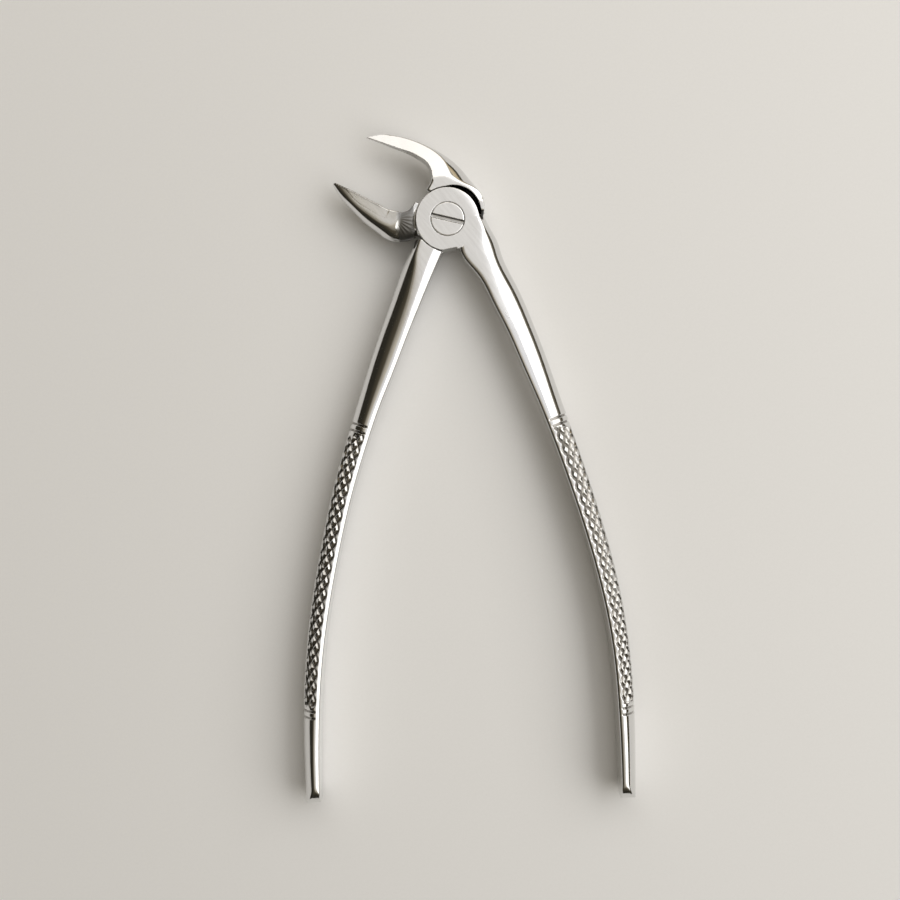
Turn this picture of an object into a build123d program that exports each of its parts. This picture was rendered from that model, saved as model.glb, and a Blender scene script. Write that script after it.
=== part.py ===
"""Extraction forceps for lower teeth: two crossed levers on one screw.

Frame: origin on the pivot axis, at the flat back of the joint. +Z runs along the
pivot towards the slotted screw head, the handles run towards -Y and the beaks
point towards -X. All lengths are millimetres.
"""

import math
import os

from build123d import *

os.makedirs("parts", exist_ok=True)

# Lap joint
joint_height = 9.6
mid_height = joint_height / 2
parting_gap = 0.08
disc_radius = 8.4
recess_radius = 8.56
crescent_radius = 7.2
crescent_centre = (1.66, 1.61)
rim_chamfer = 0.25
crotch_cut = [(-3.2, -8.3), (-1.2, -8.1), (2.1, -7.6), (2.1, -12.0), (-3.2, -12.0)]
neck_step = 1.2

# Joint screw
screw_head_radius = 4.45
screw_head_height = 2.3
screw_shank_radius = 2.5
screw_running_gap = 0.05
head_gap = 0.06
screw_end_recess = 0.15
slot_width = 1.0
slot_depth = 1.1
slot_angle = -15.5

# Handles
bevel = 0.9
ring_width = 0.7
ring_depth = 0.55
ring_pitch = 1.7
tail_corner = 5.2
cutter_reach = 40.0
trim_limit = -34.0
trim_length = 120.0
trim_width = 160.0

# Gripping grooves inside the beaks
groove_depth = 0.22
groove_width = 0.38
groove_pitch = 0.75
groove_start = 1.2
groove_count = 16
grooved_stations = 5

# A handle station is the centre of the section, its thickness, its width along the
# pivot, and the length of the flat beside the inner face.
right_handle = [
    ((10.45, -12.2), 8.5, 10.2, 4.0),
    ((14.30, -20.1), 7.9, 9.9, 2.8),
    ((17.70, -28.1), 7.4, 9.4, 1.8),
    ((21.35, -38.0), 6.95, 9.3, 1.2),
    ((24.80, -48.0), 6.2, 9.8, 1.0),
    ((27.75, -57.0), 5.9, 10.4, 1.2),
    ((31.75, -70.0), 5.7, 11.2, 1.0),
    ((35.85, -85.0), 5.5, 11.8, 1.0),
    ((39.10, -100.0), 5.3, 12.2, 1.0),
    ((41.10, -115.0), 5.0, 12.5, 1.0),
    ((41.80, -130.0), 4.8, 12.6, 1.0),
    ((41.80, -142.0), 4.5, 12.5, 1.0),
    ((41.50, -154.8), 4.1, 12.3, 1.0),
]
left_handle = [
    ((-7.95, -11.9), 8.3, 10.2, 4.0),
    ((-11.40, -20.0), 7.8, 9.9, 2.8),
    ((-14.85, -28.1), 7.4, 9.4, 1.8),
    ((-18.95, -38.1), 6.95, 9.3, 1.2),
    ((-22.90, -48.0), 6.2, 9.8, 1.0),
    ((-26.20, -57.0), 5.9, 10.4, 1.2),
    ((-30.50, -70.0), 5.7, 11.2, 1.0),
    ((-34.45, -85.0), 5.5, 11.8, 1.0),
    ((-37.70, -100.0), 5.3, 12.2, 1.0),
    ((-40.05, -115.0), 5.0, 12.5, 1.0),
    ((-41.35, -130.0), 4.8, 12.6, 1.0),
    ((-41.80, -142.0), 4.5, 12.5, 1.0),
    ((-41.90, -152.6), 4.1, 12.3, 1.0),
]
left_rings = [-53.4, -127.9]
right_rings = [-53.4, -130.3]

# A root station is the inner point, the outer point, the width along the pivot and
# the length of the flat. It carries an arm around the joint disc.
right_root = [
    ((6.2, 0.75), (9.8, 0.75), 10.2, 2.0),
    ((4.3, -2.9), (11.5, -2.8), 10.3, 4.0),
    ((3.4, -8.4), (13.05, -6.0), 10.2, 5.0),
]
left_root = [
    ((0.6, -5.6), (-8.95, -5.0), 10.3, 5.4),
    ((-1.9, -9.1), (-10.6, -8.0), 10.3, 5.2),
]

# A beak station is the inner point, the outer point, the width of the inner face,
# the length of the ground flank and the depth of the hollow in the inner face.
upper_beak = [
    ((-20.9, 23.05), (-21.3, 23.95), 2.4, 0.35, 0.1),
    ((-18.3, 21.85), (-18.7, 24.15), 3.9, 1.0, 0.3),
    ((-14.3, 20.1), (-15.3, 23.85), 5.6, 1.8, 0.5),
    ((-9.6, 18.15), (-10.95, 22.85), 7.2, 2.4, 0.6),
    ((-6.6, 16.55), (-6.6, 21.25), 8.6, 2.5, 0.5),
    ((-4.6, 14.7), (-2.65, 19.2), 9.6, 2.7, 0.4),
    ((-3.7, 12.3), (0.7, 17.0), 10.2, 3.6, 0.3),
    ((-2.6, 9.4), (3.9, 14.0), 10.4, 5.0, 0.2),
    ((1.6, 6.9), (6.5, 10.6), 10.4, 4.2, 0.2),
    ((4.9, 4.9), (8.7, 7.5), 10.4, 3.2, 0.2),
    ((6.3, 3.3), (9.8, 4.9), 10.4, 2.8, 0.2),
    ((6.5, 1.65), (9.9, 1.65), 10.4, 2.6, 0.2),
]
lower_beak = [
    ((-29.15, 11.5), (-30.25, 11.2), 2.4, 0.4, 0.1),
    ((-26.9, 10.25), (-28.6, 8.1), 3.9, 1.5, 0.3),
    ((-23.5, 8.3), (-26.0, 4.8), 5.4, 2.7, 0.5),
    ((-19.05, 5.6), (-22.25, 0.7), 6.8, 3.8, 0.6),
    ((-14.8, 3.0), (-17.6, -3.1), 7.8, 4.1, 0.5),
    ((-12.5, 2.35), (-13.8, -4.7), 8.2, 3.8, 0.4),
    ((-10.4, 3.0), (-10.9, -4.45), 8.3, 3.4, 0.3),
]

# Corner of the upper beak beside the disc, and neck of the lower beak, seen from the front
upper_toe = [(-3.7, 12.3), (-3.7, 11.2), (-4.15, 9.8), (-5.3, 7.95), (-4.2, 6.8), (1.6, 6.9), (0.0, 12.0)]
lower_neck = [(-12.5, 2.35), (-11.3, 2.5), (-9.75, 3.45), (-8.4, 4.9), (-7.1, 4.35), (0.0, 0.0),
              (-7.85, -2.9), (-10.9, -4.45), (-12.4, -4.85), (-13.8, -4.7)]

low = (Align.CENTER, Align.CENTER, Align.MIN)
rear_face = mid_height - parting_gap / 2
front_face = mid_height + parting_gap / 2


def station_plane(inner, outer):
    """Plane across an arm: local X from the inner to the outer point, local Y along Z."""
    dx = outer[0] - inner[0]
    dy = outer[1] - inner[1]
    middle = ((inner[0] + outer[0]) / 2, (inner[1] + outer[1]) / 2, mid_height)
    return Plane(origin=middle, x_dir=(dx, dy, 0), z_dir=(dy, -dx, 0))


def handle_points(stations, side):
    """Inner and outer point of every handle station, square to the centre line."""
    rows = []
    last = len(stations) - 1
    for index, (centre, thickness, width, flat) in enumerate(stations):
        before = stations[max(index - 1, 0)][0]
        after = stations[min(index + 1, last)][0]
        along = math.atan2(after[1] - before[1], after[0] - before[0])
        across = (-math.sin(along) * side, math.cos(along) * side)
        half = thickness / 2
        inner = (centre[0] - across[0] * half, centre[1] - across[1] * half)
        outer = (centre[0] + across[0] * half, centre[1] + across[1] * half)
        rows.append((inner, outer, width, flat))
    return rows


def handle_section(inner, outer, width, flat):
    """D-shaped section: flat inner face, bevelled edges, short flats, rounded back."""
    half = math.dist(inner, outer) / 2
    rise = width / 2
    with BuildSketch(station_plane(inner, outer)) as section:
        with BuildLine():
            Line((-half, -rise + bevel), (-half, rise - bevel))
            Line((-half, rise - bevel), (-half + bevel, rise))
            Line((-half + bevel, rise), (-half + bevel + flat, rise))
            ThreePointArc((-half + bevel + flat, rise), (half, 0), (-half + bevel + flat, -rise))
            Line((-half + bevel + flat, -rise), (-half + bevel, -rise))
            Line((-half + bevel, -rise), (-half, -rise + bevel))
        make_face()
    return section.sketch


def beak_section(inner, outer, width, flat, hollow):
    """Beak section: hollow inner face, flat ground flanks, rounded back."""
    half = math.dist(inner, outer) / 2
    rise = width / 2
    with BuildSketch(station_plane(inner, outer)) as section:
        with BuildLine():
            ThreePointArc((-half, -rise), (-half + hollow, 0), (-half, rise))
            Line((-half, rise), (-half + flat, rise))
            ThreePointArc((-half + flat, rise), (half, 0), (-half + flat, -rise))
            Line((-half + flat, -rise), (-half, -rise))
        make_face()
    return section.sketch


def ring_cutter(inner, outer, width, flat):
    """Waste of one turned ring: a thin slice outside a section with a lower back."""
    half = math.dist(inner, outer) / 2
    rise = width / 2
    side = -half + bevel + flat
    with BuildPart() as cutter:
        with BuildSketch(station_plane(inner, outer)):
            Rectangle(cutter_reach, cutter_reach)
            with BuildLine():
                Line((-cutter_reach, -rise), (-cutter_reach, rise))
                Line((-cutter_reach, rise), (side, rise))
                ThreePointArc((side, rise), (half - ring_depth, 0), (side, -rise))
                Line((side, -rise), (-cutter_reach, -rise))
            make_face(mode=Mode.SUBTRACT)
        extrude(amount=ring_width / 2, both=True)
    return cutter.part


def station_at(rows, height):
    """Handle station at a given height, read off between its two neighbours."""
    for upper, lower in zip(rows, rows[1:]):
        top = (upper[0][1] + upper[1][1]) / 2
        bottom = (lower[0][1] + lower[1][1]) / 2
        if bottom <= height <= top:
            share = (top - height) / (top - bottom)
            inner = tuple(a + (b - a) * share for a, b in zip(upper[0], lower[0]))
            outer = tuple(a + (b - a) * share for a, b in zip(upper[1], lower[1]))
            width = upper[2] + (lower[2] - upper[2]) * share
            flat = upper[3] + (lower[3] - upper[3]) * share
            return inner, outer, width, flat
    return rows[-1]


def tail_cutter(inner, outer, width):
    """Waste around the tail: all that lies outside a rounded end seen from the side."""
    across = station_plane(inner, outer)
    downward = across.z_dir if across.z_dir.Y < 0 else -across.z_dir
    side_plane = Plane(origin=across.origin, x_dir=downward, z_dir=across.x_dir)
    with BuildPart() as cutter:
        with BuildSketch(side_plane):
            Rectangle(cutter_reach, cutter_reach)
            with BuildLine():
                Line((-cutter_reach, width / 2), (-tail_corner, width / 2))
                RadiusArc((-tail_corner, width / 2), (0, width / 2 - tail_corner), tail_corner)
                Line((0, width / 2 - tail_corner), (0, -width / 2 + tail_corner))
                RadiusArc((0, -width / 2 + tail_corner), (-tail_corner, -width / 2), tail_corner)
                Line((-tail_corner, -width / 2), (-cutter_reach, -width / 2))
                Line((-cutter_reach, -width / 2), (-cutter_reach, width / 2))
            make_face(mode=Mode.SUBTRACT)
        extrude(amount=cutter_reach, both=True)
    return cutter.part


def handle_arm(root, handle, side, rings):
    """One arm from the joint disc to the tail of its handle."""
    rows = handle_points(handle, side)
    with BuildPart() as arm:
        add([handle_section(*row) for row in root + rows])
        loft()
        for first in rings:
            for height in (first, first - ring_pitch):
                add(ring_cutter(*station_at(rows, height)), mode=Mode.SUBTRACT)
        add(tail_cutter(*rows[-1][:3]), mode=Mode.SUBTRACT)
    return arm.part


def beak(stations):
    """One beak lofted through its stations."""
    with BuildPart() as arm:
        add([beak_section(*row) for row in stations])
        loft()
    return arm.part


def joint_trim():
    """Waste above and below the flat ground faces around the joint."""
    with BuildPart() as waste:
        for height, side in ((joint_height, Align.MIN), (0, Align.MAX)):
            with Locations((0, trim_limit, height)):
                Box(trim_width, trim_length, cutter_reach, align=(Align.CENTER, Align.MIN, side))
    return waste.part


def grip_grooves(stations):
    """Fine grooves across the inner face of a beak, square to its length."""
    line = Spline(*[(x, y, mid_height) for (x, y), *_ in stations[:grooved_stations]])
    with BuildPart() as cutters:
        for index in range(groove_count):
            share = (groove_start + index * groove_pitch) / line.length
            point = line.position_at(share)
            along = line.tangent_at(share)
            with BuildSketch(Plane(origin=(point.X, point.Y, mid_height), x_dir=along, z_dir=(0, 0, 1))):
                Rectangle(groove_width, groove_depth * 2)
            extrude(amount=cutter_reach / 2, both=True)
    return cutters.part


def joint_disc(bottom, top, outward):
    """Half of the lap joint: a disc with its outer rim chamfered."""
    with BuildPart() as disc:
        with Locations((0, 0, bottom)):
            Cylinder(disc_radius, top - bottom, align=low)
        chamfer(disc.faces().sort_by(Axis.Z)[outward].edges(), rim_chamfer)
    return disc.part


# Rear lever: upper beak, shoulder around the front disc, rear disc, left handle
with BuildPart() as rear_lever:
    add(beak(upper_beak))
    with BuildSketch():
        Polygon(*upper_toe, align=None)
    extrude(amount=joint_height)
    add(handle_arm(left_root, left_handle, -1, left_rings))
    add(joint_trim(), mode=Mode.SUBTRACT)
    add(joint_disc(0, rear_face, 0))
    with Locations((0, 0, rear_face)):
        Cylinder(recess_radius, joint_height, align=low, mode=Mode.SUBTRACT)
    with Locations((*crescent_centre, rear_face)):
        Cylinder(crescent_radius, joint_height, align=low, mode=Mode.SUBTRACT)
    Cylinder(screw_shank_radius, joint_height, align=low, mode=Mode.SUBTRACT)
    add(grip_grooves(upper_beak), mode=Mode.SUBTRACT)
rear_lever.part.label = "Rear lever with upper beak"
export_step(rear_lever.part, "parts/rear_lever.step")

# Front lever: lower beak, front disc with the screw seat, right handle
with BuildPart() as front_lever:
    add(beak(lower_beak))
    with BuildSketch():
        Polygon(*lower_neck, align=None)
    extrude(amount=joint_height - neck_step)
    add(handle_arm(right_root, right_handle, 1, right_rings))
    add(joint_trim(), mode=Mode.SUBTRACT)
    Cylinder(recess_radius, front_face, align=low, mode=Mode.SUBTRACT)
    add(joint_disc(front_face, joint_height, -1))
    with BuildSketch(Plane.XY.offset(front_face)):
        Polygon(*crotch_cut, align=None)
    extrude(amount=joint_height, mode=Mode.SUBTRACT)
    Cylinder(screw_shank_radius + screw_running_gap, joint_height, align=low, mode=Mode.SUBTRACT)
    with Locations((0, 0, joint_height - screw_head_height - head_gap)):
        Cylinder(screw_head_radius + head_gap, joint_height, align=low, mode=Mode.SUBTRACT)
    add(grip_grooves(lower_beak), mode=Mode.SUBTRACT)
front_lever.part.label = "Front lever with lower beak"
export_step(front_lever.part, "parts/front_lever.step")

# Joint screw: slotted flush head, plain shank, end dressed flat in the rear lever
with BuildPart() as joint_screw:
    with Locations((0, 0, screw_end_recess)):
        Cylinder(screw_shank_radius, joint_height - screw_end_recess, align=low)
    with Locations((0, 0, joint_height - screw_head_height)):
        Cylinder(screw_head_radius, screw_head_height, align=low)
    chamfer(joint_screw.faces().sort_by(Axis.Z)[-1].edges(), rim_chamfer)
    with Locations(Location((0, 0, joint_height), (0, 0, slot_angle))):
        Box(cutter_reach, slot_width, slot_depth * 2, mode=Mode.SUBTRACT)
joint_screw.part.label = "Slotted joint screw"
export_step(joint_screw.part, "parts/joint_screw.step")
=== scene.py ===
"""Extraction forceps: two polished steel levers and a slotted joint screw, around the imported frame."""

import math

import bpy
import numpy as np
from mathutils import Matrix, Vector


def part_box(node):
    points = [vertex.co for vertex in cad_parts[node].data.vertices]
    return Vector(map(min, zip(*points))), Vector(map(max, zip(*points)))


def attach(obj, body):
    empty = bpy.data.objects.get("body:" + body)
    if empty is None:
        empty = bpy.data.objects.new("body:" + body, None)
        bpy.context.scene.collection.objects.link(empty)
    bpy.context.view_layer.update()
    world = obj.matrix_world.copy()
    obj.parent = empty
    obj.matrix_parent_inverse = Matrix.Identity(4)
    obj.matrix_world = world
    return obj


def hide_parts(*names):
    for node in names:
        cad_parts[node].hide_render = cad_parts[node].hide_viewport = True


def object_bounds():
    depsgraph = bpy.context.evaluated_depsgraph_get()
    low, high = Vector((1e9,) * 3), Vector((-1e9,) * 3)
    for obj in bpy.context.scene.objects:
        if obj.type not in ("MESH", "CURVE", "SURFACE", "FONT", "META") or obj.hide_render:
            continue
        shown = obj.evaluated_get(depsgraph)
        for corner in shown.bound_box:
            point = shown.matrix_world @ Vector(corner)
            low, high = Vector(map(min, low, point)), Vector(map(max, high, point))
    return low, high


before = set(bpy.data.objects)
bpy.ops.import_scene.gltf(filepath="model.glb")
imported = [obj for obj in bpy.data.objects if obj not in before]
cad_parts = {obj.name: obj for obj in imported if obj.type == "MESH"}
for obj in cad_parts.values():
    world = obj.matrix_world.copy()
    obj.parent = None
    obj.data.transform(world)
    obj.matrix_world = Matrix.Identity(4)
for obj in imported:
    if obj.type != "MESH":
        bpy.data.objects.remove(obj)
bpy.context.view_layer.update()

MM = 0.001

# The joint, in millimetres: origin on the pivot at the flat back, +Z towards the screw head
SCREW_LOW, SCREW_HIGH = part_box("joint_screw")
HEIGHT = SCREW_HIGH.z / MM
SCREW_END = SCREW_LOW.z / MM
HEAD_RADIUS = SCREW_HIGH.x / MM
MID = HEIGHT / 2
DISC_RADIUS = 8.4
RECESS_RADIUS = 8.56
HALF_GAP = 0.04
CRESCENT_CENTRE = (1.66, 1.61)
CRESCENT_RADIUS = 7.2
SHANK_RADIUS = 2.5
SHANK_GAP = 0.05
HEAD_HEIGHT = 2.3
HEAD_GAP = 0.03
RIM = 0.12
SLOT_EDGE = 0.12
SLOT_ANGLE = math.radians(-15.5)
SLOT_WIDTH = 1.0
SLOT_DEPTH = 1.1
TRIM_ABOVE = -34.0

# Rounding of the edges, and the shape of the round backs
CRISP = 0.16
CREASE = 0.35
SOFT = 0.8
OVAL = 2.0
NECK_OVAL = 1.6
OVAL_LEAD = 0.45
LEAST_RISE = 0.25
BEVEL_SLOPE = 0.6

# Heights in y that limit where a part of a lever has to be worked out at all
KNURL_BELOW = -50.0
ARMS_BELOW = 4.0
BEAKS_ABOVE = -9.5
FAR = 99.0

# A handle station: centre, thickness, width along the pivot, bevel beside the inner
# face, and where the round back starts.
RIGHT_HANDLE = [
    ((10.45, -12.2), 8.5, 10.15, 0.7, 4.3),
    ((14.30, -20.1), 7.9, 9.85, 0.6, 2.3),
    ((17.70, -28.1), 7.4, 9.35, 0.6, 1.7),
    ((21.35, -38.0), 6.95, 9.25, 0.6, 1.4),
    ((24.80, -48.0), 6.2, 9.75, 0.6, 1.3),
    ((27.75, -57.0), 5.9, 10.35, 0.7, 1.3),
    ((31.75, -70.0), 5.7, 11.15, 0.7, 1.3),
    ((35.85, -85.0), 5.5, 11.75, 0.7, 1.3),
    ((39.10, -100.0), 5.3, 12.15, 0.7, 1.3),
    ((41.10, -115.0), 5.0, 12.45, 0.7, 1.3),
    ((41.80, -130.0), 4.8, 12.55, 0.7, 1.3),
    ((41.80, -142.0), 4.5, 12.45, 0.7, 1.3),
    ((41.50, -154.8), 4.1, 12.25, 0.6, 1.2),
]
LEFT_HANDLE = [
    ((-7.95, -11.9), 8.3, 10.15, 1.9, 5.1),
    ((-11.40, -20.0), 7.8, 9.85, 1.6, 2.9),
    ((-14.85, -28.1), 7.4, 9.35, 1.4, 2.1),
    ((-18.95, -38.1), 6.95, 9.25, 1.2, 1.8),
    ((-22.90, -48.0), 6.2, 9.75, 1.2, 1.7),
    ((-26.20, -57.0), 5.9, 10.35, 1.2, 1.7),
    ((-30.50, -70.0), 5.7, 11.15, 1.2, 1.7),
    ((-34.45, -85.0), 5.5, 11.75, 1.1, 1.6),
    ((-37.70, -100.0), 5.3, 12.15, 1.1, 1.6),
    ((-40.05, -115.0), 5.0, 12.45, 1.0, 1.6),
    ((-41.35, -130.0), 4.78, 12.55, 1.0, 1.5),
    ((-41.80, -142.0), 4.48, 12.45, 1.0, 1.5),
    ((-41.90, -152.6), 4.1, 12.25, 0.8, 1.3),
]
# A root or beak station: inner point, outer point, width along the pivot, bevel (handle)
# or hollow (beak), and where the round back starts.
RIGHT_ROOT = [
    ((6.2, 0.75), (9.8, 0.75), 10.2, 0.2, 1.7),
    ((4.3, -2.9), (11.5, -2.8), 10.2, 0.4, 4.8),
    ((3.1, -8.2), (13.05, -6.0), 10.2, 0.6, 6.0),
]
LEFT_ROOT = [
    ((-0.1, -5.4), (-8.95, -5.0), 10.2, 1.9, 7.4),
    ((-2.0, -9.1), (-10.6, -8.0), 10.2, 2.1, 6.5),
]
UPPER_BEAK = [
    ((-20.9, 23.05), (-21.3, 23.95), 2.4, 0.1, 0.3),
    ((-18.3, 21.85), (-18.7, 24.15), 3.9, 0.3, 0.5),
    ((-14.3, 20.1), (-15.3, 23.85), 5.6, 0.5, 0.8),
    ((-9.6, 18.15), (-10.95, 22.85), 7.2, 0.6, 1.0),
    ((-6.6, 16.55), (-6.6, 21.25), 8.6, 0.5, 1.2),
    ((-4.6, 14.7), (-2.65, 19.2), 9.4, 0.4, 1.5),
    ((-3.7, 12.3), (0.7, 17.0), 9.8, 0.3, 2.0),
    ((-2.6, 9.4), (3.9, 14.0), 10.2, 0.2, 2.6),
    ((1.6, 6.9), (6.5, 10.6), 10.2, 0.2, 3.2),
    ((4.9, 4.9), (8.75, 7.5), 10.2, 0.2, 3.8),
    ((6.3, 3.3), (9.9, 4.9), 10.2, 0.2, 3.5),
    ((6.5, 1.65), (10.05, 1.65), 10.2, 0.2, 3.25),
]
LOWER_BEAK = [
    ((-29.15, 11.5), (-30.25, 11.2), 2.4, 0.1, 0.35),
    ((-26.9, 10.25), (-28.6, 8.1), 3.9, 0.3, 1.1),
    ((-23.5, 8.3), (-26.0, 4.8), 5.4, 0.5, 2.7),
    ((-19.05, 5.6), (-22.25, 0.7), 6.8, 0.6, 3.6),
    ((-14.8, 3.0), (-17.6, -3.1), 7.7, 0.5, 3.5),
    ((-13.6, 2.6), (-15.6, -4.3), 7.8, 0.4, 2.6),
    ((-12.6, 2.35), (-14.0, -4.7), 7.9, 0.3, 1.0),
]
LOWER_NECK = [
    ((-14.8, 3.0), (-17.6, -3.1), 7.2, 0.0, 0.8),
    ((-12.5, 2.35), (-14.0, -4.7), 8.0, 0.0, 0.7),
    ((-10.4, 2.7), (-11.2, -4.85), 8.3, 0.0, 0.6),
    ((-9.1, 3.8), (-8.9, -4.4), 8.4, 0.0, 0.6),
    ((-7.6, 5.9), (-7.0, -3.9), 8.4, 0.0, 0.6),
    ((-6.0, 7.9), (-5.2, -3.5), 8.4, 0.0, 0.6),
]

# Outlines seen from the front: the upper beak's corner beside the disc, and the cuts
# that open the crotch in the front and the rear disc
UPPER_TOE = [
    (-3.7, 12.3), (-3.7, 11.2), (-4.15, 9.8), (-5.3, 7.95), (-4.2, 6.8), (1.6, 6.9), (0.0, 12.0),
]
CROTCH = [(-3.2, -8.3), (-1.2, -8.1), (2.1, -7.6), (2.1, -12.0), (-3.2, -12.0)]
REAR_CROTCH = [(-1.45, -7.85), (2.1, -7.4), (4.5, -6.5), (5.5, -12.0), (-3.4, -12.0)]

# Flat ground bosses: edge radius at each direction, in degrees from +X
UPPER_BOSS_TURN = (-180, -90, 30, 45, 62, 82, 100, 120, 180)
UPPER_BOSS_EDGE = (30, 30, 9.5, 9.75, 10.4, 11.1, 11.4, 11.8, 30)
FRONT_BOSS_TURN = (-180, -35, -5, 15, 35, 52, 65, 80, 180)
FRONT_BOSS_EDGE = (30, 30, 8.2, 7.6, 7.6, 7.9, 8.3, 9.0, 30)
FALL = 0.3
TOE_ROUND = 0.9

# Neck between the front disc and the lower beak: its top, the directions between which
# it clears the rear lever at both limits of the joint, and the folds that fan out over it
NECK_TOP = 5.05
NECK_FIRST, NECK_LAST = math.radians(149.3), math.radians(204.8)
NECK_FILLET = 0.4
FOLD_CENTRE = (-14.0, 0.8)
FOLD_STEP = 12.5
FOLD_DEPTH = 0.035
FOLD_TURNS = (-75, -60, 32, 45)
FOLD_SPAN = (1.6, 2.8, 4.4, 5.6)

# Turned rings, diamond knurling and rounded tails of the handles. Rings and knurling
# are stated by side: -1 for the left handle, 1 for the right.
RINGS = {
    -1: (-53.4, -55.1, -127.9, -129.6),
    1: (-53.4, -55.1, -130.3, -132.0),
}
RING_DEPTH = 0.42
RING_REACH = 0.42
KNURL_SPAN = {-1: (-127.0, -55.6), 1: (-129.4, -55.6)}
KNURL_ALONG = 3.5
KNURL_ACROSS = 2.6
KNURL_DEPTH = 0.55
KNURL_REACH = 0.6
KNURL_FADE = 0.8
TAIL_CORNER = 5.2

# Gripping grooves inside the beaks, and how dull their faces are and how much painted shade darkens them
GROOVE_PITCH = 0.75
GROOVE_DEPTH = 0.2
GROOVED_LENGTH = 13.5
GRIP_DULL_AND_SHADE = 0.5
GRIP_FADE = 2.0
BEAK_OVERRUN = 0.2
HOLLOW_EDGE = (0.62, 0.78)

# Where the surface finish changes: how squarely a flat faces front or back, where the
# grinding fades out along the handles, and the same for the screw's head
FLAT_FACING = (0.97, 0.997)
GROUND_FADE = (-37, -20)
HEAD_FACING = (0.9, 0.99)
HEAD_BORDER = 0.25
# Painted shade in the slot: which faces count as walls, from what depth it darkens, where it stops short
# of the rim, and how strong it is in the depth and on the walls
SLOT_WALL_FACING = (0.3, 0.8)
SLOT_DARK_FROM = (0.1, 0.4)
SLOT_END = 0.1
SLOT_GROOVE_SHADE = 0.3
SLOT_SHADE = 0.9

# Directions, in degrees, and radius of the painted shade in the gap beside the shoulder and
# the notch at its end, and where the painted shade on the neck rises and fades along X and stops along Y
GAP_TURNS = (-3, 108)
GAP_REACH = 9.45
GAP_TOP = 0.35
NOTCH_TURN = 7
NOTCH_SPREAD = 8
NOTCH_REACH = 10.3
NOTCH_FACING = 0.7
NECK_SHADE = 0.65
NECK_SHADE_SPAN = (-13.6, -12.6, -9.0, -8.5)
NECK_SHADE_LOW, NECK_SHADE_HIGH = -5.2, 6.05

# Steel: direction of the grinding streaks, tone of the painted shade in the knurling, the beaks' grooves
# and the slot, and tone of the painted shade in the gaps and on the neck
GRIND_ANGLE = math.radians(-38)
HANDLE_LEAN = math.radians(16)
GROOVE_SHADE_TONE = (0.13, 0.11, 0.08, 1)
PAINTED_SHADE_TONE = (0.012, 0.010, 0.008, 1)

# Surface grid: spacing, rows worked out at once, blocks for the final fit, and margin
VOXEL = 0.18
SLAB = 48
BLOCKS = 24
MARGIN = 0.6
ROUGH_STEP = 4
NEAR = 2.5
FIT_STEPS = 2
ROW_SPACING = [(-14.0, VOXEL), (-51.5, 0.42), (-133.0, 0.2), (-148.0, 0.42), (-999.0, VOXEL)]


def smooth_max(a, b, radius):
    """Larger of two distances, with the edge between them rounded over about radius."""
    overlap = np.maximum(radius - np.abs(a - b), 0.0)
    return np.maximum(a, b) + overlap * overlap / (4 * radius)


def smooth_min(a, b, radius):
    """Smaller of two distances, with a fillet of about radius between them."""
    return -smooth_max(-a, -b, radius)


def ease(value, start, end):
    """0 before start, 1 after end, and a smooth step between them."""
    share = np.clip((value - start) / (end - start), 0.0, 1.0)
    return share * share * (3 - 2 * share)


def plateau(value, rise_from, rise_to, fall_from, fall_to):
    """1 in the middle of a range, with a smooth rise before it and a smooth fall after it."""
    return ease(value, rise_from, rise_to) * (1 - ease(value, fall_from, fall_to))


def natural_spline(knots, values, wanted):
    """Smooth curve through the values at the knots, read at the wanted parameters."""
    count = len(knots)
    step = np.diff(knots)
    slope = np.diff(values, axis=0) / step[:, None]
    system = np.eye(count)
    right = np.zeros_like(values)
    for row in range(1, count - 1):
        system[row, row - 1 : row + 2] = step[row - 1], 2 * (step[row - 1] + step[row]), step[row]
        right[row] = 6 * (slope[row] - slope[row - 1])
    bend = np.linalg.solve(system, right)
    cell = np.clip(np.searchsorted(knots, wanted) - 1, 0, count - 2)
    width = step[cell][:, None]
    ahead = (wanted - knots[cell])[:, None]
    behind = width - ahead
    curve = (bend[cell] * behind ** 3 + bend[cell + 1] * ahead ** 3) / (6 * width)
    curve += (values[cell] / width - bend[cell] * width / 6) * behind
    return curve + (values[cell + 1] / width - bend[cell + 1] * width / 6) * ahead


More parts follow.
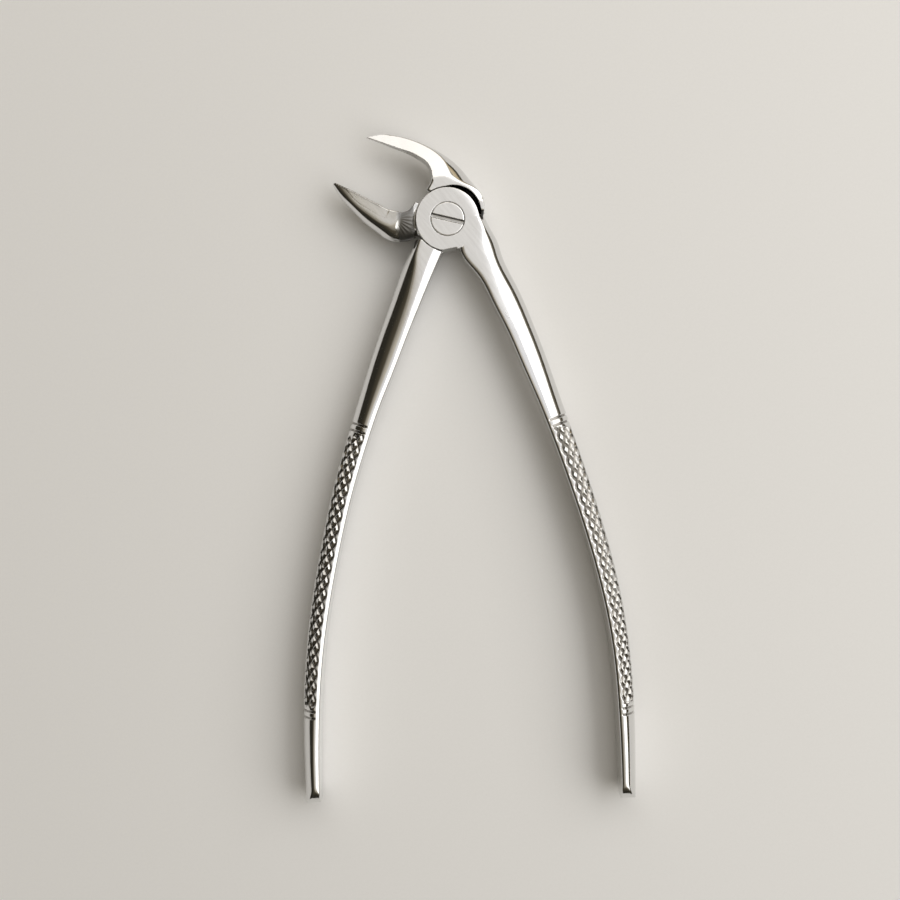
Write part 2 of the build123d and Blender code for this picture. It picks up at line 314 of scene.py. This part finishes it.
class Rail:
    """Sections swept through stations, each from an inner to an outer point in the XY plane."""

    SAMPLES = 2400
    COARSE = 20
    BATCH = 50000
    PROBE = 0.05
    LEAST_SLOPE = 0.15
    LONGEST_STEP = 2.5

    def __init__(self, stations):
        rows = np.array([[*inner, *outer, *rest] for inner, outer, *rest in stations], float)
        middle = (rows[:, 0:2] + rows[:, 2:4]) / 2
        knots = np.r_[0, np.cumsum(np.hypot(*np.diff(middle, axis=0).T))]
        self.length = knots[-1]
        self.s = np.linspace(0, self.length, self.SAMPLES)
        self.rows = natural_spline(knots, rows, self.s)
        self.middle = (self.rows[:, 0:2] + self.rows[:, 2:4]) / 2
        probe = self.across(np.zeros(1), *self.middle[self.COARSE])[0]
        self.sign = np.sign(probe[0])

    def column(self, s, index):
        return np.interp(s, self.s, self.rows[:, index])

    def across(self, s, x, y):
        """How far a point is past section s, how far out from its inner point, and the thickness."""
        ix, iy = self.column(s, 0), self.column(s, 1)
        dx, dy = self.column(s, 2) - ix, self.column(s, 3) - iy
        thick = np.hypot(dx, dy)
        past = ((x - ix) * dy - (y - iy) * dx) / thick
        return past, ((x - ix) * dx + (y - iy) * dy) / thick, thick

    def place(self, x, y):
        """Each point's section: its s, its distance out and the thickness there, and how far
        it lies before and after the rail."""
        x, y = np.broadcast_arrays(x, y)
        shape = x.shape
        x, y = x.ravel(), y.ravel()
        coarse = self.middle[:: self.COARSE]
        s = np.empty(x.size)
        for first in range(0, x.size, self.BATCH):
            part = slice(first, first + self.BATCH)
            apart = (x[part, None] - coarse[:, 0]) ** 2 + (y[part, None] - coarse[:, 1]) ** 2
            s[part] = self.s[:: self.COARSE][apart.argmin(1)]
        for _ in range(5):
            probe = np.minimum(s, self.length - self.PROBE)
            here = self.across(probe, x, y)[0] * self.sign
            there = self.across(probe + self.PROBE, x, y)[0] * self.sign
            slope = np.minimum((there - here) / self.PROBE, -self.LEAST_SLOPE)
            move = np.clip(here / slope, -self.LONGEST_STEP, self.LONGEST_STEP)
            s = np.clip(probe - move, 0, self.length)
        out, thick = self.across(s, x, y)[1:]
        before = -self.across(np.zeros_like(s), x, y)[0] * self.sign
        after = self.across(np.full_like(s, self.length), x, y)[0] * self.sign
        return [value.reshape(shape) for value in (s, out, thick, before, after)]


def handle_rail(root, handle, side):
    """Rail of an arm: its root stations, then the handle's sections square to its centre line."""
    rows = list(root)
    last = len(handle) - 1
    for index, (centre, thick, width, bevel, back) in enumerate(handle):
        before = handle[max(index - 1, 0)][0]
        after = handle[min(index + 1, last)][0]
        along = math.atan2(after[1] - before[1], after[0] - before[0])
        across = Vector((-math.sin(along), math.cos(along))) * side * thick / 2
        inner, outer = Vector(centre) - across, Vector(centre) + across
        rows.append((tuple(inner), tuple(outer), width, bevel, back))
    return Rail(rows)


def outline(x, y, points):
    """Signed distance to a closed outline, negative inside."""
    x, y = np.broadcast_arrays(x, y)
    nearest = np.full(x.shape, 1e9)
    inside = np.zeros(x.shape, bool)
    for (ax, ay), (bx, by) in zip(points, points[1:] + points[:1]):
        ex, ey = bx - ax, by - ay
        share = np.clip(((x - ax) * ex + (y - ay) * ey) / (ex * ex + ey * ey), 0, 1)
        nearest = np.minimum(nearest, np.hypot(x - ax - share * ex, y - ay - share * ey))
        if ey != 0:
            inside ^= ((ay > y) != (by > y)) & (x < ax + (y - ay) * ex / ey)
    return np.where(inside, -nearest, nearest)


def round_back(out, side, thick, half, back, oval=OVAL):
    """Distance to the round back of a section: a full oval that meets the flank at a slight crease."""
    rise = np.maximum(thick - back, LEAST_RISE)
    start = back - OVAL_LEAD * rise
    reach = thick - start
    height = half / (1 - (OVAL_LEAD / (1 + OVAL_LEAD)) ** oval) ** (1 / oval)
    along = np.maximum(out - start, 1e-6) / reach
    up = np.maximum(side, 1e-6) / height
    size = (along ** oval + up ** oval) ** (1 / oval)
    steep = np.hypot((along / size) ** (oval - 1) / reach, (up / size) ** (oval - 1) / height)
    return (size - 1) / steep - np.maximum(start - out, 0)


def knurl_circle(thick, half, back):
    """Radius and centre, measured outwards, of the circle that counts the way round the back."""
    rise = thick - back
    radius = (half * half + rise * rise) / (2 * rise)
    return radius, thick - radius


def knurl_depth(rail, s, y, out, lift, thick, half, back, bevel):
    """Depth of the knurling and the turned rings over the back of a handle."""
    radius, centre = knurl_circle(thick, half, back)
    around = np.arctan2(lift, out - centre) * radius
    slant = 1 / math.hypot(1 / KNURL_ALONG, 1 / KNURL_ACROSS)
    groove = 0.0
    for turn in (1, -1):
        phase = s / KNURL_ALONG + turn * around / KNURL_ACROSS
        gap = np.abs(phase - np.round(phase)) * slant
        groove = np.maximum(groove, 1 - gap / KNURL_REACH)
    side = 1 if rail.middle[-1, 0] > 0 else -1
    low, high = KNURL_SPAN[side]
    fade = plateau(y, low, low + KNURL_FADE, high - KNURL_FADE, high)
    depth = groove * KNURL_DEPTH * fade
    for height in RINGS[side]:
        place = np.interp(-height, -rail.middle[:, 1], rail.s)
        depth = np.maximum(depth, RING_DEPTH * (1 - ease(np.abs(s - place), 0.0, RING_REACH)))
    return depth * ease(out, bevel * 0.9, bevel + 0.9)


def arm(rail, x, y, z):
    """Distance to one arm, from beside the disc to its rounded tail."""
    s, out, thick, before, after = rail.place(x, y)
    half = rail.column(s, 4) / 2
    half = np.where(y > TRIM_ABOVE, np.minimum(half, MID), half)
    bevel, back = rail.column(s, 5), rail.column(s, 6)
    side = np.abs(z - MID)
    dome = round_back(out, side, thick, half, back)
    sink = 0.0
    if y.min() < KNURL_BELOW:
        sink = knurl_depth(rail, s, y, out, z - MID, thick, half, back, bevel)
    ahead, aside = after + TAIL_CORNER, side - half + TAIL_CORNER
    flank = np.hypot(np.maximum(ahead, 0), np.maximum(aside, 0)) - TAIL_CORNER
    flank = flank + np.minimum(np.maximum(ahead, aside), 0)
    body = smooth_max(flank + sink, -out, CREASE)
    slope = (side - half + BEVEL_SLOPE * (bevel - out)) / math.hypot(1, BEVEL_SLOPE)
    body = smooth_max(body, slope, CREASE)
    body = smooth_max(body, dome + sink, CREASE)
    return smooth_max(body, before, CRISP)


def beak(rail, x, y, z, grooved=True, oval=OVAL):
    """Distance to a beak: hollow grooved inner face, flat flanks, round back."""
    s, out, thick, before, after = rail.place(x, y)
    half = rail.column(s, 4) / 2
    hollow, back = rail.column(s, 5), rail.column(s, 6)
    side = np.abs(z - MID)
    dome = round_back(out, side, thick, half, back, oval)
    inner = hollow * (1 - np.minimum(side / half, 1) ** 2) - out
    if grooved:
        saw = np.abs(s / GROOVE_PITCH - np.round(s / GROOVE_PITCH)) * 2
        inner = inner + GROOVE_DEPTH * (1 - saw) * (1 - ease(s, GROOVED_LENGTH - 1, GROOVED_LENGTH))
    flank = np.minimum(half, MID)
    body = smooth_max(side - flank, inner, CREASE)
    body = smooth_max(body, dome, CREASE)
    return smooth_max(smooth_max(body, after, SOFT), before, CREASE)


def neck_folds(x, y):
    """Shallow folds that fan out over the neck from the end of the lower beak's facet."""
    dx, dy = x - FOLD_CENTRE[0], y - FOLD_CENTRE[1]
    radial, turn = np.hypot(dx, dy), np.degrees(np.arctan2(dy, dx))
    wave = 0.5 + 0.5 * np.cos(turn * 2 * math.pi / FOLD_STEP)
    return FOLD_DEPTH * wave * plateau(turn, *FOLD_TURNS) * plateau(radial, *FOLD_SPAN)


def slab(z, bottom, top):
    return np.maximum(bottom - z, z - top)


def disc(x, y, z, bottom, top):
    return smooth_max(np.hypot(x, y) - DISC_RADIUS, slab(z, bottom, top), CRISP)


upper_beak_rail = Rail(UPPER_BEAK)
lower_beak_rail = Rail(LOWER_BEAK)
lower_neck_rail = Rail(LOWER_NECK)
left_rail = handle_rail(LEFT_ROOT, LEFT_HANDLE, -1)
right_rail = handle_rail(RIGHT_ROOT, RIGHT_HANDLE, 1)


def boss_fall(x, y, z, turn, edge):
    """Sloping faces outside the flat ground boss, whose edge radius is stated at several directions."""
    radial = np.hypot(x, y)
    limit = np.interp(np.degrees(np.arctan2(y, x)), turn, edge)
    return (np.abs(z - MID) - MID + FALL * (radial - limit)) / math.hypot(1, FALL)


def rear_lever(x, y, z):
    """Upper beak, shoulder around the front disc, rear disc, left handle."""
    body = np.full(np.broadcast_shapes(x.shape, y.shape, z.shape), FAR)
    if y.max() > BEAKS_ABOVE:
        body = beak(upper_beak_rail, x, y, z)
        toe = smooth_max(outline(x, y, UPPER_TOE), slab(z, 0, HEIGHT), TOE_ROUND)
        body = np.maximum(smooth_min(body, toe, CREASE), slab(z, 0, HEIGHT))
        body = smooth_max(body, boss_fall(x, y, z, UPPER_BOSS_TURN, UPPER_BOSS_EDGE), CRISP)
    if y.min() < ARMS_BELOW:
        body = np.minimum(body, arm(left_rail, x, y, z))
    if y.max() < BEAKS_ABOVE:
        return body
    rear_disc = smooth_max(disc(x, y, z, 0, MID - HALF_GAP), -outline(x, y, REAR_CROTCH), CRISP)
    body = np.minimum(body, rear_disc)
    above = MID - HALF_GAP - z
    body = smooth_max(body, -np.maximum(np.hypot(x, y) - RECESS_RADIUS, above), CRISP)
    cx, cy = CRESCENT_CENTRE
    body = smooth_max(body, -np.maximum(np.hypot(x - cx, y - cy) - CRESCENT_RADIUS, above), CRISP)
    return smooth_max(body, SHANK_RADIUS + SHANK_GAP - np.hypot(x, y), CRISP)


def front_lever(x, y, z):
    """Lower beak and neck, front disc with the screw seat, right handle."""
    below = z - MID - HALF_GAP
    recess = -np.maximum(np.hypot(x, y) - RECESS_RADIUS, below)
    body = np.full(np.broadcast_shapes(x.shape, y.shape, z.shape), FAR)
    if y.max() > BEAKS_ABOVE:
        neck = beak(lower_neck_rail, x, y, z, False, NECK_OVAL) + neck_folds(x, y)
        neck = smooth_max(neck, y - NECK_TOP, CREASE)
        for turn, side in ((NECK_FIRST, 1), (NECK_LAST, -1)):
            past = side * (x * math.sin(turn) - y * math.cos(turn))
            neck = smooth_max(neck, past, CRISP)
        body = smooth_min(beak(lower_beak_rail, x, y, z), neck, SOFT)
        rolled = boss_fall(x, y, z, FRONT_BOSS_TURN, FRONT_BOSS_EDGE)
        front_disc = smooth_max(disc(x, y, z, MID + HALF_GAP, HEIGHT), rolled, CREASE)
        body = smooth_min(smooth_max(body, recess, CRISP), front_disc, NECK_FILLET)
    if y.min() < ARMS_BELOW:
        body = np.minimum(body, smooth_max(arm(right_rail, x, y, z), recess, CRISP))
    if y.max() < BEAKS_ABOVE:
        return body
    body = np.maximum(body, z - HEIGHT)
    body = smooth_max(body, -np.maximum(outline(x, y, CROTCH), -below), CRISP)
    body = smooth_max(body, SHANK_RADIUS + SHANK_GAP - np.hypot(x, y), CRISP)
    seat = HEIGHT - HEAD_HEIGHT - HEAD_GAP - z
    return smooth_max(body, -np.maximum(np.hypot(x, y) - HEAD_RADIUS - HEAD_GAP, seat), CRISP)


def joint_screw(x, y, z):
    """Flush head with a chamfered rim and one slot, on a plain shank dressed off at the back."""
    radial = np.hypot(x, y)
    rim = (radial - HEAD_RADIUS + z - HEIGHT + RIM) / math.sqrt(2)
    head = smooth_max(radial - HEAD_RADIUS, slab(z, HEIGHT - HEAD_HEIGHT, HEIGHT), CRISP)
    head = smooth_max(head, rim, RIM)
    shank = smooth_max(radial - SHANK_RADIUS, slab(z, SCREW_END, HEIGHT - 1), CREASE)
    lift = x * -math.sin(SLOT_ANGLE) + y * math.cos(SLOT_ANGLE)
    slot = smooth_max(np.abs(lift) - SLOT_WIDTH / 2, HEIGHT - SLOT_DEPTH - z, CREASE)
    return smooth_max(np.minimum(head, shank), -slot, SLOT_EDGE)


def row_heights(low, high):
    """Heights of the grid rows: close over the joint, the knurling and the tails, wider between."""
    heights = [high]
    while heights[-1] > low:
        step = next(step for limit, step in ROW_SPACING if heights[-1] > limit)
        heights.append(heights[-1] - step)
    return np.array(heights[::-1])


CORNERS = np.array([(i, j, k) for i in (0, 1) for j in (0, 1) for k in (0, 1)])
EDGES = [(a, b) for a in range(8) for b in range(a, 8) if np.abs(CORNERS[a] - CORNERS[b]).sum() == 1]


def cell_points(value, cells):
    """Where the surface passes through each cell, as shares of the cell's sides."""
    ci, cj, ck = cells
    at = [value[ci + i, cj + j, ck + k] for i, j, k in CORNERS]
    total = np.zeros((ci.size, 3))
    count = np.zeros(ci.size)
    for a, b in EDGES:
        crossed = (at[a] < 0) != (at[b] < 0)
        share = np.where(crossed, at[a] / np.where(crossed, at[a] - at[b], 1), 0)
        total += np.where(crossed[:, None], CORNERS[a] + share[:, None] * (CORNERS[b] - CORNERS[a]), 0)
        count += crossed
    return total / count[:, None]


def surface_net(field, low, high):
    """Quads over the surface where field is zero, one point per grid cell that it crosses."""
    xs = np.arange(low[0] - MARGIN, high[0] + MARGIN, VOXEL)
    ys = row_heights(low[1] - MARGIN, high[1] + MARGIN)
    zs = np.arange(low[2] - MARGIN, high[2] + MARGIN, VOXEL)
    levels = np.linspace(low[2] + 1, high[2] - 1, 4)
    ids, points, quads = [], [], []
    for first in range(1, len(ys) - 1, SLAB):
        last = min(first + SLAB, len(ys) - 1)
        y = ys[first - 1 : last + 1]
        rough = field(xs[::ROUGH_STEP, None, None], y[None, ::ROUGH_STEP, None], levels[None, None, :])
        busy = np.flatnonzero((rough < NEAR).any((1, 2))) * ROUGH_STEP
        start, stop = max(busy[0] - ROUGH_STEP, 0), min(busy[-1] + ROUGH_STEP + 1, len(xs))
        x = xs[start:stop]
        value = field(x[:, None, None], y[None, :, None], zs[None, None, :])
        solid = value < 0
        count = sum(
            solid[i : i + len(x) - 1, j : j + len(y) - 1, k : k + len(zs) - 1].astype(np.int8)
            for i, j, k in CORNERS
        )
        cells = np.nonzero((count > 0) & (count < 8))
        share = cell_points(value, cells)
        ci, cj, ck = cells
        step = np.stack([np.full(ci.size, VOXEL), y[cj + 1] - y[cj], np.full(ci.size, VOXEL)], 1)
        points.append(np.stack([x[ci], y[cj], zs[ck]], 1) + share * step)

        def number(i, j, k):
            return ((i + start) * len(ys) + j + first - 1) * len(zs) + k

        ids.append(number(ci, cj, ck))
        for axis in range(3):
            one = [slice(1, -1)] * 3
            two = [slice(1, -1)] * 3
            one[axis], two[axis] = slice(0 if axis != 1 else 1, -1), slice(1 if axis != 1 else 2, None)
            crossed = np.nonzero(solid[tuple(one)] != solid[tuple(two)])
            node = [index + 1 for index in crossed]
            if axis != 1:
                node[axis] = crossed[axis]
            u, v = (axis + 1) % 3, (axis + 2) % 3
            ring = []
            for du, dv in ((1, 1), (0, 1), (0, 0), (1, 0)):
                cell = list(node)
                cell[u], cell[v] = node[u] - du, node[v] - dv
                ring.append(number(*cell))
            ring = np.stack(ring, 1)
            outward = solid[tuple(node)]
            quads.append(np.where(outward[:, None], ring, ring[:, ::-1]))
    ids, points, quads = np.concatenate(ids), np.concatenate(points), np.concatenate(quads)
    names, picked = np.unique(ids, return_index=True)
    return points[picked], np.searchsorted(names, quads)


def slope_of(field, points, reach=0.02):
    """Value and gradient of the field at the points."""
    corners = np.array([(1, -1, -1), (-1, -1, 1), (-1, 1, -1), (1, 1, 1)]) * reach
    values = [field(*(points + corner).T) for corner in corners]
    total = sum(value[:, None] * corner for value, corner in zip(values, corners))
    return sum(values) / 4, total / (4 * reach * reach)


def settle(field, points):
    """Moves the points onto the surface and returns them with the surface's own normals."""
    points, normals = points.copy(), np.empty_like(points)
    for block in np.array_split(np.argsort(points[:, 1]), BLOCKS):
        place = points[block]
        for _ in range(FIT_STEPS):
            value, gradient = slope_of(field, place)
            size = np.maximum((gradient ** 2).sum(1), 0.25)
            move = gradient * (value / size)[:, None]
            length = np.linalg.norm(move, axis=1)
            place = place - move * np.minimum(1, 0.5 * VOXEL / np.maximum(length, 1e-9))[:, None]
        gradient = slope_of(field, place)[1]
        points[block] = place
        normals[block] = gradient / np.maximum(np.linalg.norm(gradient, axis=1), 1e-9)[:, None]
    return points, normals


def make_piece(name, field, body, node, material, masks):
    """Mesh of a field as an object that rides on a body and stands for a CAD node."""
    low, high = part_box(node)
    points, quads = surface_net(field, [value / MM for value in low], [value / MM for value in high])
    points, normals = settle(field, points)
    mesh = bpy.data.meshes.new(name)
    mesh.from_pydata((points * MM).tolist(), [], quads.tolist())
    mesh.shade_smooth()
    mesh.normals_split_custom_set_from_vertices(normals.tolist())
    for mask, values in masks(points, normals).items():
        attribute = mesh.attributes.new(mask, "FLOAT", "POINT")
        attribute.data.foreach_set("value", values.astype(np.float32))
    mesh.materials.append(material)
    piece = bpy.data.objects.new(name, mesh)
    bpy.context.collection.objects.link(piece)
    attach(piece, body)
    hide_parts(node)


class Nodes:
    """Short way to build a node tree: make a node, set its inputs from values or other sockets."""

    def __init__(self, tree):
        self.tree = tree
        tree.nodes.clear()

    def add(self, kind, settings=None, **inputs):
        node = self.tree.nodes.new(kind)
        for name, value in (settings or {}).items():
            setattr(node, name, value)
        for name, value in inputs.items():
            self.put(node, name.replace("_", " "), value)
        return node

    def put(self, node, name, value):
        socket = node.inputs[name if name in node.inputs else int(name.strip())]
        if isinstance(value, bpy.types.NodeSocket):
            self.tree.links.new(value, socket)
        else:
            socket.default_value = value

    def mask(self, name):
        """Value of one of the mesh's own masks."""
        return self.add("ShaderNodeAttribute", {"attribute_name": name}).outputs["Fac"]

    def math(self, operation, a, b=0.0):
        node = self.add("ShaderNodeMath", {"operation": operation})
        self.put(node, "0", a)
        self.put(node, "1", b)
        return node.outputs[0]

    def blend(self, share, a, b):
        """a where share is 0, b where it is 1. Numbers or colours."""
        colour = isinstance(a, tuple) or isinstance(b, tuple)
        node = self.add("ShaderNodeMix", {"data_type": "RGBA" if colour else "FLOAT"})
        self.put(node, "0", share)
        self.put(node, "6" if colour else "2", a)
        self.put(node, "7" if colour else "3", b)
        return node.outputs[2 if colour else 0]

    def spread(self, value, low, high, to_low=0.0, to_high=1.0):
        node = self.add("ShaderNodeMapRange")
        for index, number in enumerate((value, low, high, to_low, to_high)):
            self.put(node, str(index), number)
        return node.outputs[0]

    def noise(self, scale, turn=0.0, detail=3.0, roughness=0.55, distortion=0.0):
        """Noise in object space, with its scale in waves per millimetre along each turned axis."""
        where = self.add("ShaderNodeTexCoord").outputs["Object"]
        about_z = {"rotation_type": "Z_AXIS"}
        turned = self.add("ShaderNodeVectorRotate", about_z, Vector=where, Angle=turn)
        scaled = self.add("ShaderNodeVectorMath", {"operation": "MULTIPLY"})
        self.put(scaled, "0", turned.outputs[0])
        self.put(scaled, "1", tuple(waves / MM for waves in scale))
        noise = self.add("ShaderNodeTexNoise", Vector=scaled.outputs[0], Scale=1.0, Detail=detail)
        self.put(noise, "Roughness", roughness)
        self.put(noise, "Distortion", distortion)
        return noise.outputs["Fac"]


def dimmed(tone, share):
    return tuple(part * share for part in tone[:3]) + (1,)


def steel(name, polish, ground, along):
    """Stainless steel: mirror polish, satin flats where the mask says, painted shade in the grooves, the
    gaps and on the neck.
    """
    material = bpy.data.materials.new(name)
    material.use_nodes = True
    make = Nodes(material.node_tree)
    satin, groove, shade = make.mask("satin"), make.mask("groove"), make.mask("shade")
    streaks = make.noise((9.0, 0.35, 9.0), GRIND_ANGLE, 4.0, 0.65)
    broad = make.noise((1.6, 0.12, 1.6), GRIND_ANGLE, 2.0)
    hairs = make.noise((14.0, 0.25, 14.0), along, 3.0, 0.7)
    cloud = make.noise((0.22, 0.22, 0.22), 0.0, 3.0)
    ripple = make.noise((0.3, 0.1, 0.3), along, 1.0)
    grain = make.noise((5.0, 5.0, 5.0), 0.0, 2.0)

    ground_tone = make.blend(make.spread(broad, 0.35, 0.65), dimmed(ground, 0.93), ground)
    polish_tone = make.blend(make.spread(cloud, 0.3, 0.7), dimmed(polish, 0.95), polish)
    tone = make.blend(satin, polish_tone, ground_tone)
    # painted shade in the knurl grooves, the beaks' grooved faces and the screw's slot
    groove_shade = make.math("MULTIPLY", groove, make.spread(grain, 0.3, 0.7, 0.65, 0.95))
    tone = make.blend(groove_shade, tone, GROOVE_SHADE_TONE)
    # painted shade: near black in the gaps beside the shoulder, the notch, the slot's walls and over the
    # neck
    tone = make.blend(shade, tone, PAINTED_SHADE_TONE)

    mirror = make.spread(hairs, 0.3, 0.75, 0.05, 0.13)
    mirror = make.math("ADD", mirror, make.spread(cloud, 0.35, 0.7, 0.0, 0.04))
    matt = make.spread(streaks, 0.3, 0.7, 0.27, 0.42)
    rough = make.blend(satin, mirror, matt)
    rough = make.math("ADD", rough, make.math("MULTIPLY", groove, 0.12))
    rough = make.math("ADD", rough, make.math("MULTIPLY", shade, 0.35))

    relief = [
        (make.math("MULTIPLY", streaks, satin), 0.010),
        (make.math("MULTIPLY", broad, satin), 0.02),
        (hairs, 0.0012),
        (ripple, 0.02),
        (make.math("MULTIPLY", grain, groove), 0.02),
    ]
    height = 0.0
    for pattern, depth in relief:
        height = make.math("ADD", height, make.math("MULTIPLY", pattern, depth * MM))
    bump = make.add("ShaderNodeBump", Strength=1.0, Distance=1.0, Height=height)

    shader = make.add("ShaderNodeBsdfPrincipled", Metallic=1.0, Base_Color=tone, Roughness=rough)
    make.put(shader, "Normal", bump.outputs[0])
    out = make.add("ShaderNodeOutputMaterial")
    make.tree.links.new(shader.outputs[0], out.inputs[0])
    return material


def gripping_face(x, y):
    """How dull, and how darkened by painted shade, the hollow grooved inner faces of the beaks are; 0
    elsewhere.
    """
    share = np.zeros(x.shape)
    for rail in (upper_beak_rail, lower_beak_rail):
        s, out, thick, before, after = rail.place(x, y)
        inside = np.maximum(before, after) < BEAK_OVERRUN
        inside &= (out < thick) & (np.hypot(x, y) > RECESS_RADIUS)
        fade = 1 - ease(s, GROOVED_LENGTH, GROOVED_LENGTH + GRIP_FADE)
        share = np.maximum(share, (1 - ease(out, *HOLLOW_EDGE)) * inside * fade)
    return share * GRIP_DULL_AND_SHADE


def lever_masks(rail):
    """Masks of a lever: satin ground flats, depth of the knurling, which also carries painted shade, and
    painted shade in the gap and over the neck.
    """
    def masks(points, normals):
        x, y, z = points.T
        s, out, thick = rail.place(x, y)[:3]
        half = rail.column(s, 4) / 2
        bevel, back = rail.column(s, 5), rail.column(s, 6)
        depth = knurl_depth(rail, s, y, out, z - MID, thick, half, back, bevel)
        knurled = np.where(y < KNURL_BELOW, depth / KNURL_DEPTH, 0)
        flat = ease(np.abs(normals[:, 2]), *FLAT_FACING) * ease(y, *GROUND_FADE)
        radial = np.hypot(x, y)
        turn = np.degrees(np.arctan2(y, x))
        # painted shade in the gap beside the shoulder and in the notch at its end
        hidden = (radial < GAP_REACH) & (turn > GAP_TURNS[0]) & (turn < GAP_TURNS[1])
        hidden &= np.abs(z - MID) < MID - GAP_TOP
        notch = (radial < NOTCH_REACH) & (np.abs(turn - NOTCH_TURN) < NOTCH_SPREAD)
        hidden |= notch & (np.abs(normals[:, 1]) > NOTCH_FACING)
        # painted shade over the front lever's neck
        neck = plateau(x, *NECK_SHADE_SPAN) * (y < NECK_SHADE_HIGH) * (y > NECK_SHADE_LOW)
        neck_shade = NECK_SHADE * neck * (rail is right_rail)
        return {
            "satin": flat,
            # groove: knurl depth and dull grooved beak faces, both also darkened with painted shade
            "groove": np.maximum(knurled, gripping_face(x, y)),
            "shade": np.maximum(hidden, neck_shade),
        }
    return masks


def screw_masks(points, normals):
    """Masks of the screw: satin head, and painted shade in the slot, strongest on its walls, with a
    duller floor.
    """
    radial = np.hypot(points[:, 0], points[:, 1])
    facing = normals[:, 2]
    sunk = ease(HEIGHT - points[:, 2], *SLOT_DARK_FROM)
    walls = sunk * (1 - ease(facing, *SLOT_WALL_FACING)) * (radial < HEAD_RADIUS - SLOT_END)
    head = ease(facing, *HEAD_FACING) * (radial < HEAD_RADIUS - HEAD_BORDER)
    return {"satin": head, "groove": SLOT_GROOVE_SHADE * sunk, "shade": SLOT_SHADE * walls}


def make_pieces():
    """The three pieces, each with a steel of its own tone."""
    polish = (0.80, 0.785, 0.755, 1)
    rear_steel = steel("rear_lever_steel", polish, (0.80, 0.80, 0.80, 1), -HANDLE_LEAN)
    front_steel = steel("front_lever_steel", polish, (0.82, 0.80, 0.78, 1), HANDLE_LEAN)
    bluish = (0.82, 0.83, 0.85, 1)
    screw_steel = steel("joint_screw_steel", bluish, (0.80, 0.82, 0.85, 1), -HANDLE_LEAN)
    rear_masks, front_masks = lever_masks(left_rail), lever_masks(right_rail)
    make_piece("rear_lever_polished", rear_lever, "rear", "rear_lever", rear_steel, rear_masks)
    make_piece("front_lever_polished", front_lever, "front", "front_lever", front_steel, front_masks)
    make_piece("joint_screw_slotted", joint_screw, "rear", "joint_screw", screw_steel, screw_masks)


def make_floor():
    """Plain pale floor under the lowest point of the object."""
    size, level = 3.0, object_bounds()[0].z
    mesh = bpy.data.meshes.new("floor")
    corners = [(-size, -size, level), (size, -size, level), (size, size, level), (-size, size, level)]
    mesh.from_pydata(corners, [], [(0, 1, 2, 3)])
    material = bpy.data.materials.new("floor_paper")
    material.use_nodes = True
    make = Nodes(material.node_tree)
    grain = make.noise((1.5, 1.5, 1.5))
    tone = make.blend(grain, (0.86, 0.858, 0.853, 1), (0.90, 0.898, 0.893, 1))
    shader = make.add("ShaderNodeBsdfPrincipled", Base_Color=tone, Roughness=0.75)
    out = make.add("ShaderNodeOutputMaterial")
    make.tree.links.new(shader.outputs[0], out.inputs[0])
    mesh.materials.append(material)
    floor = bpy.data.objects.new("floor", mesh)
    bpy.context.collection.objects.link(floor)


def make_sky():
    """Soft surroundings: a dim room, lighter overhead and towards the window at +X."""
    world = bpy.data.worlds.new("studio")
    bpy.context.scene.world = world
    world.use_nodes = True
    make = Nodes(world.node_tree)
    where = make.add("ShaderNodeTexCoord").outputs["Generated"]
    facing = make.add("ShaderNodeVectorMath", {"operation": "DOT_PRODUCT"})
    make.put(facing, "0", where)
    make.put(facing, "1", tuple(Vector((0.35, 0.12, 0.93)).normalized()))
    ramp = make.add("ShaderNodeValToRGB", Fac=make.spread(facing.outputs["Value"], -1, 1))
    stops = [
        (0.0, (0.02, 0.018, 0.014)),
        (0.60, (0.03, 0.027, 0.02)),
        (0.76, (0.08, 0.067, 0.045)),
        (0.90, (0.54, 0.49, 0.40)),
        (1.0, (0.95, 0.94, 0.94)),
    ]
    elements = ramp.color_ramp.elements
    while len(elements) < len(stops):
        elements.new(0.5)
    for element, (place, tone) in zip(elements, stops):
        element.position = place
        element.color = (*tone, 1)
    sky = make.add("ShaderNodeBackground", Color=ramp.outputs[0], Strength=1.0)
    out = make.add("ShaderNodeOutputWorld")
    make.tree.links.new(sky.outputs[0], out.inputs[0])


def make_softbox(name, place, target, size, power, tone):
    """Rectangular area light that faces the target. Size is across, then up and down."""
    light = bpy.data.lights.new(name, "AREA")
    light.shape = "RECTANGLE"
    light.size, light.size_y = size
    light.energy = power
    light.color = tone
    lamp = bpy.data.objects.new(name, light)
    lamp.location = place
    lamp.rotation_euler = (Vector(target) - Vector(place)).to_track_quat("-Z", "Y").to_euler()
    bpy.context.collection.objects.link(lamp)


def make_lights():
    """A broad window at +X, a second one beyond the beaks, and a dim warm wall under it."""
    make_softbox("window", (0.56, -0.04, 0.52), (0.0, -0.06, 0.0), (1.3, 0.62), 3.5, (1.0, 0.99, 0.97))
    middle = (0.0, 0.0, 0.0)
    make_softbox("far_window", (0.05, 0.60, 0.66), middle, (0.9, 0.46), 1.35, (1.0, 0.98, 0.95))
    make_softbox("warm_wall", (0.05, 0.95, 0.34), middle, (1.5, 0.26), 0.6, (1.0, 0.80, 0.50))


def make_camera():
    """Straight down over the handles' middle, turned a little."""
    data = bpy.data.cameras.new("camera")
    data.sensor_width = 36.0
    data.lens = 57.84
    data.clip_start = 0.01
    camera = bpy.data.objects.new("camera", data)
    camera.location = (-0.00189, -0.06077, 0.3896)
    camera.rotation_euler = (0, 0, math.radians(-2.4))
    bpy.context.collection.objects.link(camera)
    bpy.context.scene.camera = camera
    bpy.context.scene.view_settings.view_transform = "Standard"


make_pieces()
make_floor()
make_sky()
make_lights()
make_camera()
